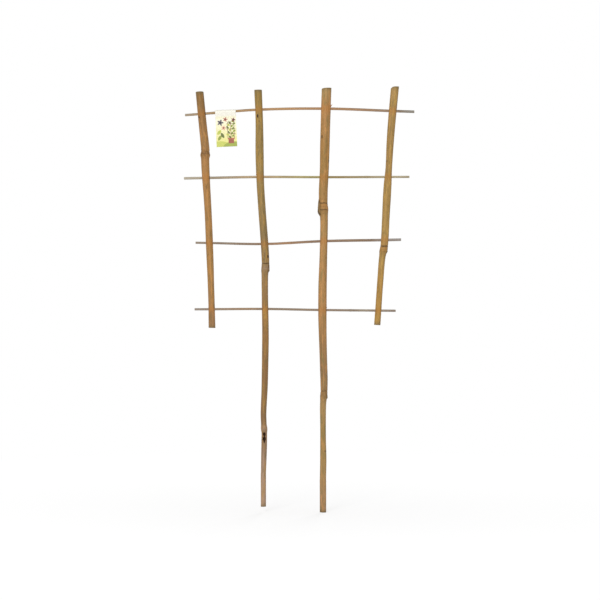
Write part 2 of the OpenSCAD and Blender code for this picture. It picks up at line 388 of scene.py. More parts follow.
class Stick:
    """Centre line and radius of a cane or rung, read off the rings of its CAD node.

    along is the axis that the stick follows: UP for a cane and ACROSS for a rung. The back corner of a
    ring lies straight behind the centre line, where no hole, stub or pit reaches it.
    """

    def __init__(self, node, along, least_corners):
        aside = ACROSS if along == UP else UP
        corners = corners_of(node)
        corners = corners[np.argsort(corners[:, along])]
        breaks = np.flatnonzero(np.diff(corners[:, along]) > SAME_RING) + 1
        backs = []
        for ring in np.split(corners, breaks):
            back = ring[ring[:, DEEP] > ring[:, DEEP].max() - SAME_RING].mean(axis=0)
            reach = np.hypot(ring[:, aside] - back[aside], ring[:, DEEP])
            if np.isclose(reach, back[DEEP], rtol=ROUND_WITHIN).sum() >= least_corners:
                backs.append(back)
        backs = np.array(backs)
        self.places = backs[:, along]
        self.centre = smooth_curve(self.places, backs[:, aside])
        self.radius = smooth_curve(self.places, backs[:, DEEP])

    def fine_places(self):
        """Ring places for the finished mesh, close together where the CAD rings are."""
        fine = [self.places[:1]]
        for low, high in zip(self.places, self.places[1:]):
            step = FINE_STEP if high - low < NODE_STEP else RING_STEP
            count = math.ceil((high - low) / step)
            fine.append(np.linspace(low, high, count + 1)[1:])
        return np.concatenate(fine)

    def nodes(self):
        """(ridge, scar) heights of each node of a cane, where its CAD rings lie close together."""
        far = np.flatnonzero(np.diff(self.places) >= NODE_STEP) + 1
        runs = [run for run in np.split(self.places, far) if len(run) >= NODE_RINGS]
        return [((run[0] + run[-3]) / 2, run[-2]) for run in runs]

    def ridge(self, node):
        return self.nodes()[node][0]


canes = {name: Stick(name, UP, CANE_CORNERS) for name in CANES}
rungs = {name: Stick(name, ACROSS, RUNG_CORNERS) for name in RUNGS}


def crossing(cane, rung):
    """Where a rung's centre line meets a cane's, found in a few rounds, and the rung's slope there."""
    height = rung.centre(cane.centre(cane.places.mean()))
    for _ in range(3):
        across = cane.centre(height)
        height = rung.centre(across)
    slope = (rung.centre(across + MM) - rung.centre(across - MM)) / (2 * MM)
    return Vector((across, 0, height)), math.atan(slope)


# Mesh helpers

def move(mesh, matrix):
    """Moves a whole bmesh by a matrix."""
    bmesh.ops.transform(mesh, matrix=matrix, verts=mesh.verts[:])


def draw_rim(mesh, rim, way):
    """Extrudes a rim of edges along a way and returns the new rim."""
    drawn = bmesh.ops.extrude_edge_only(mesh, edges=rim)["geom"]
    corners = {part for part in drawn if isinstance(part, bmesh.types.BMVert)}
    bmesh.ops.translate(mesh, verts=list(corners), vec=way)
    return [part for part in drawn
            if isinstance(part, bmesh.types.BMEdge) and corners.issuperset(part.verts)]


def draw_wall(mesh, rim, way, finish):
    """Extrudes a rim, gives the new faces a finish and returns the new rim."""
    before = set(mesh.faces)
    drawn = draw_rim(mesh, rim, way)
    for face in set(mesh.faces) - before:
        face.material_index = finish
    return drawn


def ring_tube(places, sides):
    """Open tube of radius 1 round Z with a ring at each place, and its first and last rims."""
    tube = bmesh.new()
    bmesh.ops.create_circle(tube, segments=sides, radius=1)
    first = tube.edges[:]
    last = draw_rim(tube, first, (0, 0, 1))
    rims = {*first, *last}
    uprights = [edge for edge in tube.edges if edge not in rims]
    bmesh.ops.subdivide_edgering(tube, edges=uprights, interp_mode="LINEAR", cuts=len(places) - 2)
    for corner in tube.verts:
        corner.co.z = places[round(corner.co.z * (len(places) - 1))]
    return tube, first, last


def cap(mesh, rim, finish):
    """Closes a rim with one face of the given finish and returns the face."""
    face = bmesh.ops.contextual_create(mesh, geom=rim)["faces"][0]
    face.material_index = finish
    return face


def bevel_rim(mesh, rim, width, steps):
    bmesh.ops.bevel(mesh, geom=rim, offset=width, segments=steps, profile=0.5, affect="EDGES", material=-1)


def smooth_rows(rows, count):
    """Rows of (place, radius) on a smooth curve through the given ones."""
    places, radii = np.array(rows).T
    fine = np.linspace(places[0], places[-1], count)
    return list(zip(fine, smooth_curve(places, radii)(fine)))


def rough_rod(rows, sides, roughness, seed, finish):
    """Closed rod along its own Z through rows of (place, radius), with a rough skin."""
    places, radii = np.array(rows).T
    rod, low_rim, high_rim = ring_tube(places, sides)
    drift = Vector((seed, 0, 0))
    for corner in rod.verts:
        spot = Vector((corner.co.x, corner.co.y, corner.co.z / ROUGH_LENGTH)) + drift
        rough = noise.noise(spot) + 0.5 * noise.noise(3 * spot)
        corner.co.xy *= np.interp(corner.co.z, places, radii) * (1 + roughness * rough)
    for face in rod.faces:
        face.material_index = finish
    for rim in (low_rim, high_rim):
        cap(rod, rim, finish)
    bmesh.ops.recalc_face_normals(rod, faces=rod.faces[:])
    return rod


def joined(meshes):
    """One bmesh of several."""
    whole = bmesh.new()
    for part in meshes:
        carrier = bpy.data.meshes.new("carrier")
        part.to_mesh(carrier)
        part.free()
        whole.from_mesh(carrier)
        bpy.data.meshes.remove(carrier)
    return whole


def make_piece(mesh, name, finishes):
    """Object of a finished bmesh, at the origin, with its materials."""
    data = bpy.data.meshes.new(name)
    mesh.to_mesh(data)
    mesh.free()
    for finish in finishes:
        data.materials.append(finish)
    piece = bpy.data.objects.new(name, data)
    bpy.context.scene.collection.objects.link(piece)
    return piece


def combine(piece, tool, operation):
    """Applies a Boolean of a tool mesh to a piece. The tool's faces keep their finish."""
    cutter = make_piece(tool, "tool", piece.data.materials)
    change = piece.modifiers.new("change", "BOOLEAN")
    change.operation = operation
    change.solver = "MANIFOLD"
    change.object = cutter
    depsgraph = bpy.context.evaluated_depsgraph_get()
    data = bpy.data.meshes.new_from_object(piece.evaluated_get(depsgraph))
    piece.modifiers.remove(change)
    old = piece.data
    piece.data = data
    bpy.data.meshes.remove(old)
    data.name = piece.name
    bpy.data.objects.remove(cutter)


def smooth_shade(piece):
    """Smooth shading, with hard edges where the faces turn sharply, and no scraps of the Booleans."""
    mesh = bmesh.new()
    mesh.from_mesh(piece.data)
    bmesh.ops.dissolve_degenerate(mesh, dist=SHORTEST_EDGE, edges=mesh.edges[:])
    stray = [edge for edge in mesh.edges if not edge.link_faces]
    bmesh.ops.delete(mesh, geom=stray, context="EDGES")
    for face in mesh.faces:
        face.smooth = True
    for edge in mesh.edges:
        edge.smooth = edge.calc_face_angle(0) < SHARP_ANGLE
    mesh.to_mesh(piece.data)
    mesh.free()


def store(piece, name, values):
    """Keeps a number or a vector for each vertex of a piece as an attribute that its materials read."""
    kind, key = ("FLOAT", "value") if values.ndim == 1 else ("FLOAT_VECTOR", "vector")
    layer = piece.data.attributes.new(name, kind, "POINT")
    layer.data.foreach_set(key, np.ascontiguousarray(values, np.float32).ravel())


def vertices_of(piece):
    places = np.empty(3 * len(piece.data.vertices))
    piece.data.vertices.foreach_get("co", places)
    return places.reshape(-1, 3)


def seen_from(place, points):
    """Points in the coordinates of a frame."""
    turn = np.array(place.inverted())
    return points @ turn[:3, :3].T + turn[:3, 3]


def held(values):
    """Values held between 0 and 1."""
    return np.clip(values, 0, 1)


def hump(distance, reach):
    """Bell curve: 1 at no distance, fading over the reach."""
    return np.exp(-(np.asarray(distance) / reach) ** 2)


def fading(mark, distance):
    """Strength of a mark, given as (strength, reach), at each distance."""
    strength, reach = mark
    return strength * hump(distance, reach)


def turn_between(angles, side):
    """Shortest turn from a side to each angle, in radians."""
    return np.angle(np.exp(1j * (np.asarray(angles) - side)))


def directions(angles):
    """Unit vectors at the given angles round a stick, one row each."""
    return np.stack([np.cos(angles), np.sin(angles), np.zeros_like(angles)], axis=-1)


def ripple(direction, place, waves, drift):
    """Noise on a stick's skin, with waves as features to the radius and the length of one along it."""
    around, length = waves
    return noise.noise(Vector(direction) * around + Vector((0, 0, place / length)) + drift)


# Canes

def cane_frame(cane, height, side):
    """Matrix that stands at a cane's centre line with its X axis to the given side."""
    centre = Vector((cane.centre(height), 0, height))
    return Matrix.Translation(centre) @ Matrix.Rotation(side, 4, "Z")


def scar_wander(angles, seed):
    """Rise and fall of the sheath scar round the cane."""
    drift = Vector((0, 0, seed))
    waves = [noise.noise(Vector(row) * SCAR_WAVES + drift) for row in directions(angles)]
    return SCAR_WANDER * np.array(waves)


def node_slip(cane, look, places):
    """How far the skin at each place lies below its place in the frame, because its node does."""
    slip = np.zeros_like(places)
    for (ridge, _), ring in zip(cane.nodes(), look.rings):
        slip += ring.slip * MM * hump(places - ridge, SLIP_REACH)
    return slip


def skin_radii(cane, look, places, angles):
    """Radius of the skin at each place and angle, with the unevenness of a grown cane."""
    level = places + (scar_wander(angles, look.seed) + node_slip(cane, look, places))
    radii = cane.radius(level)
    drift = Vector((look.seed, 0, 0))
    around = directions(angles)
    for size, waves in ((SWAY, SWAY_WAVES), (FLUTE, FLUTE_WAVES)):
        radii += size * np.array([ripple(row, place, waves, drift) for row, place in zip(around, places)])
    for _, scar in cane.nodes():
        radii += SCAR_LIP * hump(level - scar + SCAR_LIP_REACH, SCAR_LIP_REACH)
    for stub in look.stubs:
        beside = hump(turn_between(angles, math.radians(stub.side)), GROOVE_SPREAD)
        below = (cane.ridge(stub.node) - stub.drop * MM - places) / GROOVE_LENGTH
        radii -= GROOVE_DEPTH * beside * held(below / GROOVE_START) * held(1 - below)
    return radii


def close_cut_end(tube, rim, cane, height, inward):
    """Sawn end of a cane: the wall's face, a bevel round it, and the bore down to a partition."""
    inner = draw_wall(tube, rim, (0, 0, 0), END_GRAIN)
    share = 1 - CANE_WALL / cane.radius(height)
    corners = {corner for edge in inner for corner in edge.verts}
    bmesh.ops.scale(tube, verts=list(corners), vec=(share, share, 1))
    partition = draw_wall(tube, inner, (0, 0, inward * BORE_DEPTH), HOLLOW)
    cap(tube, partition, HOLLOW)
    bevel_rim(tube, rim, CUT_BEVEL, CANE_BEVEL_STEPS)


def culm(cane, look):
    """Skin, ends and bores of a cane, as one closed mesh."""
    places = cane.fine_places()
    foot, head = places[0], places[-1]
    tube, foot_rim, head_rim = ring_tube(places, CANE_SIDES)
    across, deep, up = np.array([corner.co for corner in tube.verts]).T
    radii = skin_radii(cane, look, up, np.arctan2(deep, across))
    for corner, radius in zip(tube.verts, radii):
        corner.co.xy *= radius
    close_cut_end(tube, foot_rim, cane, foot, 1)
    close_cut_end(tube, head_rim, cane, head, -1)
    bmesh.ops.recalc_face_normals(tube, faces=tube.faces[:])
    for end, slant in zip((foot, head), look.slants):
        steepness = slant * MM / (2 * cane.radius(end))
        for corner in tube.verts:
            near = max(1 - abs(corner.co.z - end) / SLANT_REACH, 0)
            corner.co.z += steepness * corner.co.x * near
    side, depth = look.worn
    worn_side = Vector(directions(math.radians(side)))
    head_radius = cane.radius(head)
    for corner in tube.verts:
        near = max(1 - abs(corner.co.z - head) / WORN_REACH, 0)
        outward = max(corner.co.dot(worn_side) / head_radius, 0)
        corner.co.z -= depth * MM * outward**3 * near
    centres = cane.centre(np.array([corner.co.z for corner in tube.verts]))
    for corner, centre in zip(tube.verts, centres):
        corner.co.x += centre
    return tube


def stub_frame(cane, stub):
    """Frame at the root of a branch stub, with Z along it to the cut end, and the stub's length."""
    ridge = cane.ridge(stub.node)
    top, end = ridge + stub.rise * MM, ridge - stub.drop * MM
    root = cane.radius(top) + (STUB_ROOT_SHARE * stub.proud - stub.width / 2) * MM
    tip = cane.radius(end) - stub.width * MM / 2 + stub.proud * MM
    lean = math.atan2(tip - root, top - end)
    place = cane_frame(cane, ridge, math.radians(stub.side))
    place.translation.z = top
    place = place @ Matrix.Translation((root, 0, 0)) @ Matrix.Rotation(math.pi - lean, 4, "Y")
    return place, math.hypot(tip - root, top - end)


def branch_stub(cane, look, stub):
    """Stub of a branch, which leans close along the cane and is sawn off at a slant, with a pithy end."""
    place, length = stub_frame(cane, stub)
    radius = stub.width * MM / 2
    slant = math.radians(stub.slant)
    reach = radius * math.tan(slant)
    rows = [(share * length, girth * radius) for share, girth in STUB_PROFILE]
    rows.append((length + STUB_OVERRUN * reach, STUB_TIP * radius))
    branch = rough_rod(smooth_rows(rows, STUB_RINGS), STUB_SIDES, SAWN, look.seed, SKIN)
    bmesh.ops.bisect_plane(branch, geom=branch.verts[:] + branch.edges[:] + branch.faces[:], clear_outer=True,
                           plane_co=(0, 0, length), plane_no=(-math.sin(slant), 0, math.cos(slant)))
    cut = cap(branch, [edge for edge in branch.edges if edge.is_boundary], END_GRAIN)
    bmesh.ops.inset_individual(branch, faces=[cut], thickness=PITH_MARGIN * radius, depth=-PITH_DEPTH)
    cut.material_index = HOLLOW
    bmesh.ops.recalc_face_normals(branch, faces=branch.faces[:])
    move(branch, place)
    return branch


def splinters(cane, look, row):
    """Thin strips of the skin that the drill has torn up above a hole, side by side."""
    rung, side, length, half_width, lean = row
    stick = rungs[RUNG_NAMES[rung]]
    meeting, _ = crossing(cane, stick)
    height = meeting.z + stick.radius(meeting.x) + HOLE_GAP + MOUTH_FLARE
    surface = cane.radius(height) - STRIP_SUNK
    place = cane_frame(cane, height, 0 if side > 0 else math.pi)
    girths = [share * half_width * MM for share in STRIP_TAPER]
    slivers = []
    for beside, length_share, lean_share in STRIPS:
        reach = length_share * length * MM
        rows = list(zip((-STRIP_ROOT, reach / 2, reach), girths))
        seed = look.seed + rung + beside
        sliver = rough_rod(smooth_rows(rows, SPLINTER_RINGS), SPLINTER_SIDES, TORN, seed, SKIN)
        bmesh.ops.scale(sliver, vec=STRIP_FLATNESS, verts=sliver.verts[:])
        turn = Matrix.Rotation(math.radians(lean_share * lean), 4, "Y")
        move(sliver, place @ Matrix.Translation((surface, beside * half_width * MM, 0)) @ turn)
        slivers.append(sliver)
    return slivers


def rung_hole(cane, look, rung):
    """Cutter for the hole that a rung is pushed through, with worn mouths."""
    stick = rungs[RUNG_NAMES[rung]]
    meeting, slope = crossing(cane, stick)
    radius = cane.radius(meeting.z)
    bore = stick.radius(meeting.x) + HOLE_GAP
    steps = [(-MOUTH_DEPTH, 0), (0, MOUTH_FLARE), (HOLE_OVERRUN, 2 * MOUTH_FLARE)]
    right = [(radius + out, bore + flare) for out, flare in steps]
    left = [(-place, width) for place, width in reversed(right)]
    hole = rough_rod(left + right, STUB_SIDES, SAWN, look.seed + rung, HOLLOW)
    move(hole, Matrix.Translation(meeting) @ Matrix.Rotation(math.pi / 2 - slope, 4, "Y"))
    return hole


def chipped_mouth(cane, look, row):
    """Cutter for the wood that broke away in front of a hole."""
    rung, side, width, height = row
    meeting, _ = crossing(cane, rungs[RUNG_NAMES[rung]])
    radius = cane.radius(meeting.z)
    rows = [(share * height * MM, girth * width * MM) for share, girth in CHIP_PROFILE]
    # The chip's faces take the hollow finish, whose dark colour paints the shade in the broken hollow
    chip = rough_rod(smooth_rows(rows, STUB_RINGS), STUB_SIDES, CHIPPED, look.seed + rung, HOLLOW)
    mouth = meeting + Vector((CHIP_ASIDE * side * radius, -CHIP_FORWARD * radius, 0))
    move(chip, Matrix.Translation(mouth))
    return chip


def torn_pit(cane, look, row):
    """Cutter for the pit of a branch that broke out."""
    node, side, drop = row
    lip = cane.ridge(node) - drop * MM
    rows = [(height * MM, girth * MM) for height, girth in PIT_PROFILE]
    pit = rough_rod(smooth_rows(rows, PIT_RINGS), PIT_SIDES, TORN, look.seed, HOLLOW)
    bmesh.ops.scale(pit, vec=(PIT_DEEPENING, 1, 1), verts=pit.verts[:])
    move(pit, cane_frame(cane, lip, math.radians(side)) @ Matrix.Translation((cane.radius(lip), 0, 0)))
    return pit


def stub_marks(cane, stub, points, proud, on_skin):
    """How dark each vertex is from a branch stub, by dirt and by painted shade and shadow, and how weathered,
    from 0 to 1.
    """
    place, length = stub_frame(cane, stub)
    radius = stub.width * MM / 2
    slant = math.radians(stub.slant)
    aside, beside, along = seen_from(place, points).T
    reach = np.hypot(aside, beside)
    beyond = np.clip(np.abs(along - length / 2) - length / 2, 0, None)
    within = hump(beyond, STUB_SEAM_END) * held(along / (STUB_FADE_IN * length))
    past_cut = math.cos(slant) * (along - length) - math.sin(slant) * aside
    # Painted shade in the crease where the stub meets the cane
    crease_shade = on_skin * within * fading(STUB_CREASE_SHADE, reach - radius)
    # Painted shadow on the skin below the stub's cut end
    shadow_below = on_skin * fading(STUB_SHADOW, past_cut - STUB_SHADOW_DROP)
    shadow_below *= hump(beside, STUB_SHADOW_BESIDE * radius) * hump(reach, STUB_SHADOW_ROUND * radius)
    # Dark rim of the cut: weathered sawn wood, with painted shade where the cut faces down
    rim = fading(CUT_RIM, past_cut) * held(proud / CUT_RIM_PROUD) * (reach < CUT_RIM_WITHIN * radius)
    back = STUB_BACK_DIRT * within * held(proud / STUB_BACK_DIRT_PROUD - 0.5)
    wear = within * held(proud / STUB_BACK_WEAR_PROUD)
    return np.max([crease_shade, shadow_below, rim, back], axis=0), wear


def cane_marks(cane, look, points, grain):
    """How far each vertex is warm, darkened by dirt and painted shade, bloomed or weathered, from 0 to 1, by
    name.
    """
    across, deep, height = grain.T
    angles = np.arctan2(deep, across)
    level = height + scar_wander(angles, look.seed) + node_slip(cane, look, height)
    proud = np.hypot(across, deep) - cane.radius(height)
    on_skin = held(1 - proud / PROUD_OF_SKIN)
    marks = {name: np.zeros(len(grain)) for name in ("warm", "dirt_and_shade", "bloom", "wear")}

    def mark(name, shares):
        marks[name] = np.maximum(marks[name], shares)

    for rung in rungs.values():
        meeting, _ = crossing(cane, rung)
        mark("warm", fading(HOLE_WARMTH, height - meeting.z))
        mark("dirt_and_shade", fading(HOLE_DARKENING, np.hypot(deep, height - meeting.z)))
    for (ridge, scar), ring in zip(cane.nodes(), look.rings):
        for rise, dark, half in ring.lines:
            mark("dirt_and_shade", dark * on_skin * hump(level - ridge - rise * MM, half * MM))
        middle = (ridge + scar) / 2
        mark("bloom", ring.pale * hump(level - (ridge + middle) / 2, NODE_BLOOM_REACH))
        mark("warm", ring.warm * hump(level - middle, NODE_WARM_REACH))
    for stub in look.stubs:
        dirt_and_shade, wear = stub_marks(cane, stub, points, proud, on_skin)
        mark("dirt_and_shade", dirt_and_shade)
        mark("wear", wear)
    for node, side, drop in look.pits:
        middle = cane.ridge(node) - drop * MM + PIT_MIDDLE
        beside = hump(turn_between(angles, math.radians(side)), PIT_SPREAD)
        mark("dirt_and_shade", beside * fading(PIT_DIRT, height - middle))
    for end in (cane.places[0], cane.places[-1]):
        mark("dirt_and_shade", fading(END_DIRT, height - end))
        mark("wear", fading(END_WEAR, height - end))
    return marks


def make_cane(name, end_grain, hollow_wood_shade):
    cane, look = canes[name], CANES[name]
    piece = make_piece(culm(cane, look), name + "_skin", [cane_skin(name), end_grain, hollow_wood_shade])
    grown = [branch_stub(cane, look, stub) for stub in look.stubs]
    for row in look.splinters:
        grown += splinters(cane, look, row)
    if grown:
        combine(piece, joined(grown), "UNION")
    cuts = [rung_hole(cane, look, rung) for rung in range(len(RUNGS))]
    cuts += [chipped_mouth(cane, look, row) for row in look.chips]
    cuts += [torn_pit(cane, look, row) for row in look.pits]
    combine(piece, joined(cuts), "DIFFERENCE")
    smooth_shade(piece)
    points = vertices_of(piece)
    grain = points.copy()
    grain[:, ACROSS] -= cane.centre(points[:, UP])
    store(piece, "grain", grain)
    for mark, shares in cane_marks(cane, look, points, grain).items():
        store(piece, mark, shares)
    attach(piece, "frame")
    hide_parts(name)


# Rungs

def make_rung(name, end_grain):
    """Thin split stick: uneven and lightly knotted, with bevelled cut ends."""
    rung, look = rungs[name], RUNGS[name]
    tube, low_rim, high_rim = ring_tube(rung.fine_places(), RUNG_SIDES)
    places = np.array([corner.co.z for corner in tube.verts])
    swell = sum(hump(places - knot * MM, RUNG_KNOT_HALF) for knot in look.knots)
    radii = rung.radius(places) + RUNG_KNOT_RISE * swell
    drift = Vector((look.seed, 0, 0))
    for corner, place, radius in zip(tube.verts, places, radii):
        around = (corner.co.x, corner.co.y, 0)
        uneven = ripple(around, place, RUNG_LUMP_WAVES, drift)
        uneven += RUNG_RIB_SHARE * ripple(around, place, RUNG_RIB_WAVES, -drift)
        corner.co.xy *= radius + RUNG_UNEVEN * uneven
    for rim in (low_rim, high_rim):
        cap(tube, rim, END_GRAIN)
        bevel_rim(tube, rim, RUNG_BEVEL, RUNG_BEVEL_STEPS)
    move(tube, Matrix.Rotation(math.pi / 2, 4, "Y"))
    centres = rung.centre(np.array([corner.co.x for corner in tube.verts]))
    for corner, centre in zip(tube.verts, centres):
        corner.co.z += centre
    bmesh.ops.recalc_face_normals(tube, faces=tube.faces[:])
    piece = make_piece(tube, name + "_stick", [rung_skin(name), end_grain])
    smooth_shade(piece)
    grain = vertices_of(piece)
    grain[:, UP] -= rung.centre(grain[:, ACROSS])
    store(piece, "grain", grain)
    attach(piece, "frame")
    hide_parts(name)


# Tag

TAG_COLUMNS = 24
TAG_ROWS = 32
FOLD_STEPS = 20
SLOPE_STEPS = 5
FOLD_DEPTH = 9 * MM
LEAF_SPLAY = 0.5 * MM
LEAF_TWIST = 0.7
SAME_LEVEL = 0.01 * MM

# The print: softness of its edges and middle of its pot in millimetres, the form of its blossoms, and the
# heights between which its ground turns pale, as shares of the tag's, and is left white towards the fold
PRINT_BLUR = 0.07
POT_MIDDLE = 6.5
PETALS = 5
PETAL_NOTCH = 0.5
HEART_SHARE = 0.3
GROUND_YELLOW = -0.95
GROUND_PALE = -0.25
PRINT_TOP = -7 * MM
FOLD_WHITE = -5 * MM


def tag_frame():
    """Matrix at the middle of the fold, with X along the fold and Z up the hanging tag."""
    swing = frame["joints"][0]
    corners = corners_of("hang_tag")
    right = (corners - np.array(swing["pos_m"])) @ np.array(swing["axis"]) > 0
    along = Vector(corners[right].mean(axis=0) - corners[~right].mean(axis=0)).normalized()
    up = along.cross(Vector((0, 1, 0)))
    turn = Matrix((along, (0, 1, 0), up)).transposed().to_4x4()
    return Matrix.Translation(swing["pos_m"]) @ turn


def make_tag():
    """Card folded over the rung: a front leaf, the fold round the rung and a back leaf."""
    place = tag_frame()
    local = np.array([place.inverted() @ Vector(corner) for corner in corners_of("hang_tag")])
    width = np.ptp(local[:, ACROSS])
    height = -local[:, UP].min()
    fold_radius = local[:, UP].max()
    leaf_corners = local[local[:, UP] < -height / 2]
    board = leaf_corners[:, DEEP].max()
    half_angle = math.asin(fold_radius / FOLD_DEPTH)
    leaf = height - FOLD_DEPTH

    card = bmesh.new()
    upright = Matrix.Rotation(math.pi / 2, 4, "X") @ Matrix.Diagonal((width, leaf, 1, 1))
    bmesh.ops.create_grid(card, x_segments=TAG_COLUMNS, y_segments=TAG_ROWS, size=0.5,
                          matrix=Matrix.Translation((0, -board, -FOLD_DEPTH - leaf / 2)) @ upright)
    top = max(corner.co.z for corner in card.verts)
    rim = [edge for edge in card.edges if all(corner.co.z > top - SAME_LEVEL for corner in edge.verts)]
    tangent = Vector((0, -fold_radius * math.cos(half_angle), -fold_radius * math.sin(half_angle)))
    slope = tangent - Vector((0, -board, -FOLD_DEPTH))
    for _ in range(SLOPE_STEPS):
        rim = draw_rim(card, rim, slope / SLOPE_STEPS)
    spun = bmesh.ops.spin(card, geom=rim, cent=(0, 0, 0), axis=(1, 0, 0), steps=FOLD_STEPS,
                          angle=-(math.pi + 2 * half_angle))
    rim = [part for part in spun["geom_last"] if isinstance(part, bmesh.types.BMEdge)]
    for _ in range(SLOPE_STEPS):
        rim = draw_rim(card, rim, Vector((0, slope.y, -slope.z)) / SLOPE_STEPS)
    for _ in range(TAG_ROWS):
        rim = draw_rim(card, rim, (0, 0, -leaf / TAG_ROWS))
    bmesh.ops.recalc_face_normals(card, faces=card.faces[:])
    for corner in card.verts:
        hang = max(-corner.co.z - FOLD_DEPTH, 0) / leaf
        side = math.copysign(1, corner.co.y)
        sideways = corner.co.x / width
        corner.co.y += side * LEAF_SPLAY * hang**2 * (1 + LEAF_TWIST * sideways)
    bmesh.ops.solidify(card, geom=card.faces[:], thickness=board)
    for face in card.faces:
        middle = face.calc_center_median()
        outward = Vector((0, middle.y, max(middle.z, 0)))
        on_front = face.normal.dot(outward) > 0 and middle.y < 0
        face.material_index = PRINT if on_front else BOARD
    flat = np.array([corner.co for corner in card.verts])
    move(card, place)
    piece = make_piece(card, "hang_tag_card", [tag_print(height), tag_board()])
    store(piece, "grain", flat)
    smooth_shade(piece)
    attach(piece, "tag")
    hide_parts("hang_tag")


# Finishes

# Colours of bare wood and card, of marks and wear, and of painted shade
BUNDLE_BROWN = "80603a"
PALE_WOOD = "c4a878"
# Inside of hollows: dull wood darkened as painted shade
HOLLOW_SHADE_DARK = "1c120a"
HOLLOW_SHADE_BROWN = "4a3320"
CARD_GREY = "efecdf"
CARD_WHITE = "fbfaf3"
PRINT_YELLOW = "e6df78"
PRINT_CREAM = "f6f2d4"
PRINT_WHITE = "f4f1e4"
CRACK = "4c3319"
WARM_STAIN = "b5722e"
BLOOM = "bb9f8c"
WEATHERED = "7a6a48"
FLECK = "5a3d22"
SPECK = "2e1c0e"
GRIME_AND_SHADE = "3d2815"
DULL = "6f5b49"
DUST = "94816a"
STAINED_AND_SHADED_WOOD = "43301c"


def tone(code):
    """Colour of a six-figure sRGB code, as the shader takes it."""
    parts = [int(code[k:k + 2], 16) / 255 for k in (0, 2, 4)]
    return (*Color(parts).from_srgb_to_scene_linear(), 1)


class Nodes:
    """A node tree, with short calls for the nodes that are used here."""

    def __init__(self, tree):
        self.tree = tree

    def feed(self, socket, value):
        """Links an output to a socket, or sets a plain number, vector or colour on it."""
        if isinstance(value, bpy.types.NodeSocket):
            self.tree.links.new(value, socket)
        else:
            socket.default_value = value

    def node(self, kind, inputs, **settings):
        made = self.tree.nodes.new("ShaderNode" + kind)
        for name, value in settings.items():
            setattr(made, name, value)
        for key, value in inputs.items():
            self.feed(made.inputs[key], value)
        return made

    def math(self, operation, first, second=0.0):
        return self.node("Math", {0: first, 1: second}, operation=operation).outputs[0]

    def length(self, vector):
        return self.node("VectorMath", {0: vector}, operation="LENGTH").outputs["Value"]

    def spread(self, value, low, high, first=0.0, last=1.0):
        """Maps low to high onto first to last, and holds the value there outside."""
        inputs = {"Value": value, "From Min": low, "From Max": high, "To Min": first, "To Max": last}
        return self.node("MapRange", inputs).outputs["Result"]

    def seen_directly(self):
        """1 for the rays that show the background: from the camera, in gloss and through glass."""
        rays = self.node("LightPath", {}).outputs
        shown = self.math("MAXIMUM", rays["Is Camera Ray"], rays["Is Glossy Ray"])
        return self.math("MAXIMUM", shown, rays["Is Transmission Ray"])


class Finish(Nodes):
    """A material, with calls for what its colour, relief and gloss are made of."""

    def __init__(self, name, specular):
        self.material = bpy.data.materials.new(name)
        self.material.use_nodes = True
        super().__init__(self.material.node_tree)
        self.shader = self.tree.nodes["Principled BSDF"]
        self.shader.inputs["Specular IOR Level"].default_value = specular

    def attribute(self, name, output="Vector"):
        return self.node("Attribute", {}, attribute_name=name).outputs[output]

    def parts(self, vector):
        return self.node("SeparateXYZ", {0: vector}).outputs

    def vector(self, operation, first, second=(0, 0, 0)):
        return self.node("VectorMath", {0: first, 1: second}, operation=operation).outputs["Vector"]

    def noise(self, place, stretch, detail=2.0, broken=0.5):
        """Noise with the given number of features to the metre along each axis, more or less broken up."""
        stretched = self.vector("MULTIPLY", place, stretch)
        inputs = {"Vector": stretched, "Scale": 1.0, "Detail": detail, "Roughness": broken}
        return self.node("TexNoise", inputs).outputs["Fac"]

    def mix(self, share, first, second, blend="MIX"):
        made = self.node("Mix", {0: share, 6: first, 7: second}, data_type="RGBA", blend_type=blend)
        return made.outputs[2]

    def patches(self, colour, code, pattern, low, high, most):
        """Another colour where a pattern is high: none of it up to low, and most of it from high on."""
        return self.mix(self.spread(pattern, low, high, 0, most), colour, tone(code))

    def shaded(self, colour, pattern, low, high, darkest, brightest):
        """The colour made darker and brighter by a pattern between low and high."""
        return self.mix(1, colour, self.spread(pattern, low, high, darkest, brightest), "MULTIPLY")

    def marked(self, colour, code, first, second):
        """Another colour as far as two shares together say."""
        return self.mix(self.math("MULTIPLY", first, second), colour, tone(code))

    def ramp(self, value, stops):
        made = self.node("ValToRGB", {"Fac": value})
        slots = made.color_ramp.elements
        while len(slots) < len(stops):
            slots.new(1)
        for slot, (place, colour) in zip(slots, stops):
            slot.position = place
            slot.color = colour
        return made.outputs["Color"]

    def bump(self, height, strength, distance):
        inputs = {"Height": height, "Strength": strength, "Distance": distance}
        self.feed(self.shader.inputs["Normal"], self.node("Bump", inputs).outputs["Normal"])

    def spot(self, place, centre, size, ragged):
        """Soft-edged ellipse at a centre, with a ragged rim."""
        aside = self.vector("DIVIDE", self.vector("SUBTRACT", place, centre), size)
        reach = self.math("ADD", self.length(aside), ragged)
        return self.spread(reach, 1.15, 0.75)

    def done(self, colour, roughness):
        self.feed(self.shader.inputs["Base Color"], colour)
        self.feed(self.shader.inputs["Roughness"], roughness)
        return self.material


def tone_ramp(paint, place, stick, tones):
    """Colour along a stick, from rows of place in millimetres and colour."""
    low, high = stick.places[0], stick.places[-1]
    stops = [((at * MM - low) / (high - low), tone(code)) for at, code in tones]
    return paint.ramp(paint.spread(place, low, high), stops)


